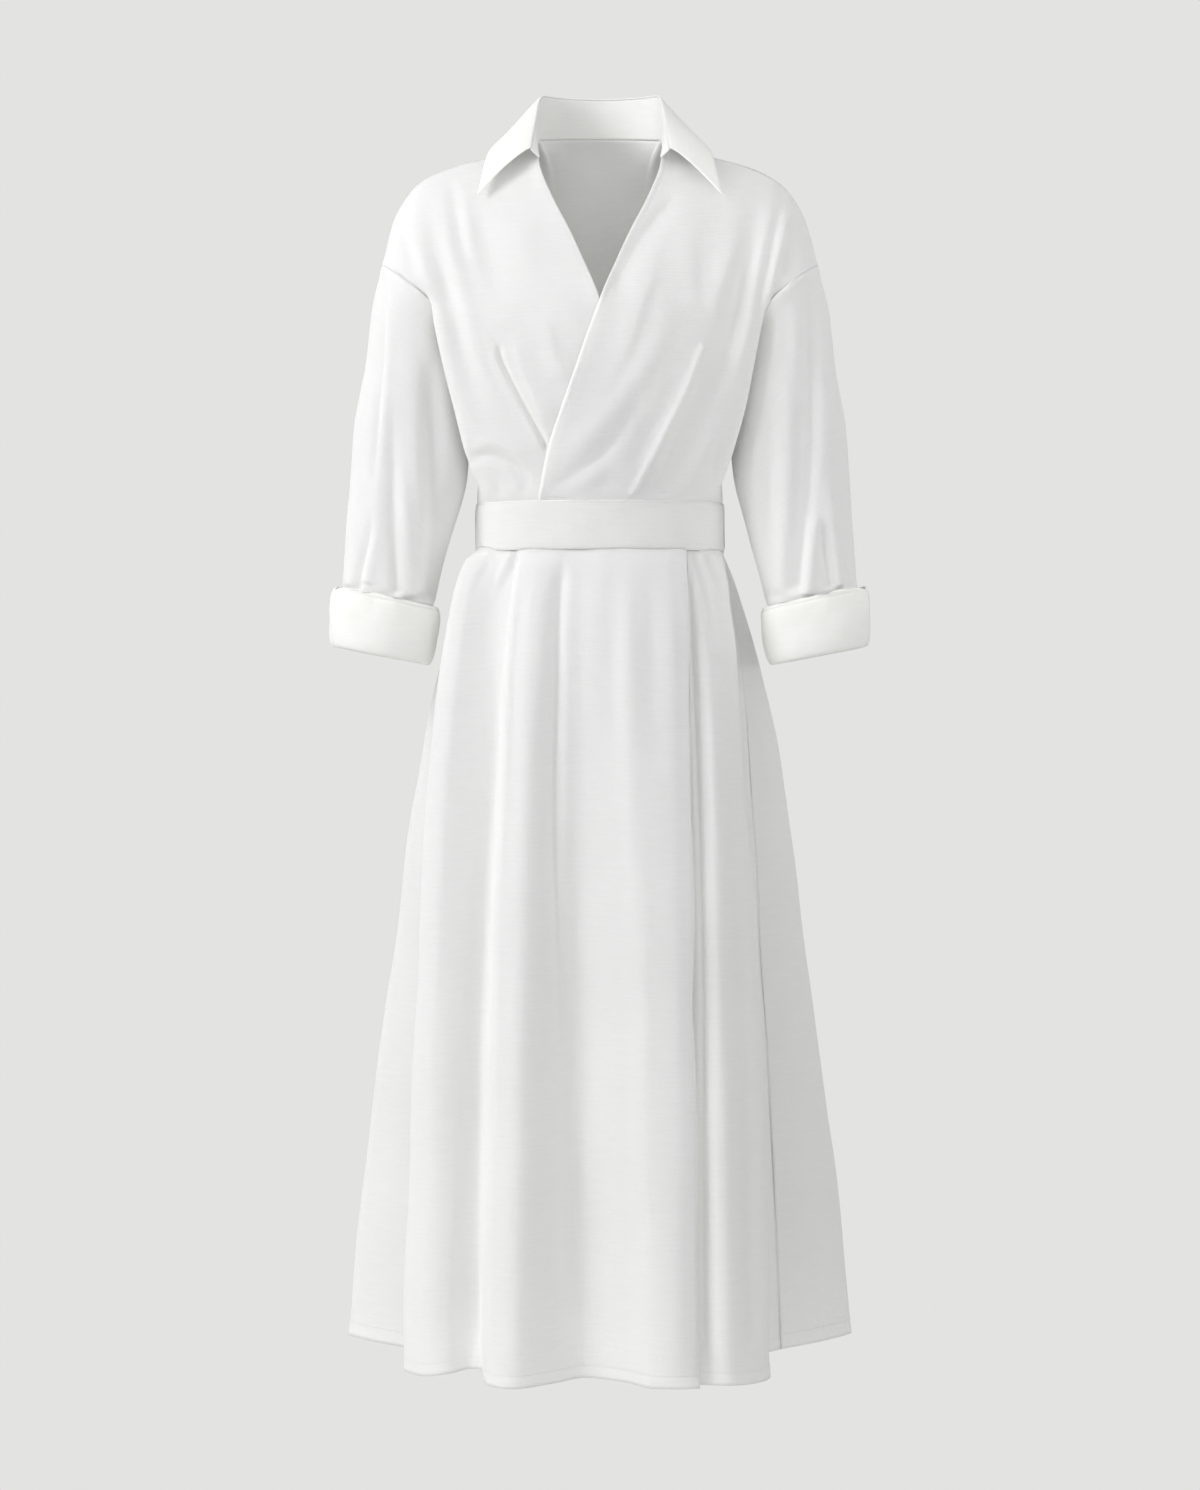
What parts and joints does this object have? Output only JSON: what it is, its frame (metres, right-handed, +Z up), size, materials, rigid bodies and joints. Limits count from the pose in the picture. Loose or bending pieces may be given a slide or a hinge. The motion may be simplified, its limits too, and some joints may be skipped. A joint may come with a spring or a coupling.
{
  "type": "shirt dress",
  "caption": "Long-sleeved wrap-front shirt dress with a pointed collar, waistband, turned-back cuffs and a pleated A-line midi skirt, filled out with no wearer.",
  "frame": {"origin": "on the centre line, level with the shoulder seams beside the neck, where the wearer's shoulders carry the dress", "axes": "+Z up towards the collar, -Y towards the front of the dress, +X towards the wearer's left"},
  "size_m": [0.5378, 0.4156, 1.2711],
  "materials": {
    "cotton_poplin": "plain white woven cotton, matt, softly creased"
  },
  "bodies": {
    "root": {"front_left": "cotton_poplin", "front_right": "cotton_poplin", "back": "cotton_poplin", "sleeve_left": "cotton_poplin", "sleeve_right": "cotton_poplin", "cuff_left": "cotton_poplin", "cuff_right": "cotton_poplin", "collar_stand": "cotton_poplin", "collar_leaf": "cotton_poplin", "waistband_front": "cotton_poplin", "waistband_back": "cotton_poplin", "skirt_front": "cotton_poplin", "skirt_back": "cotton_poplin"}
  },
  "joints": []
}
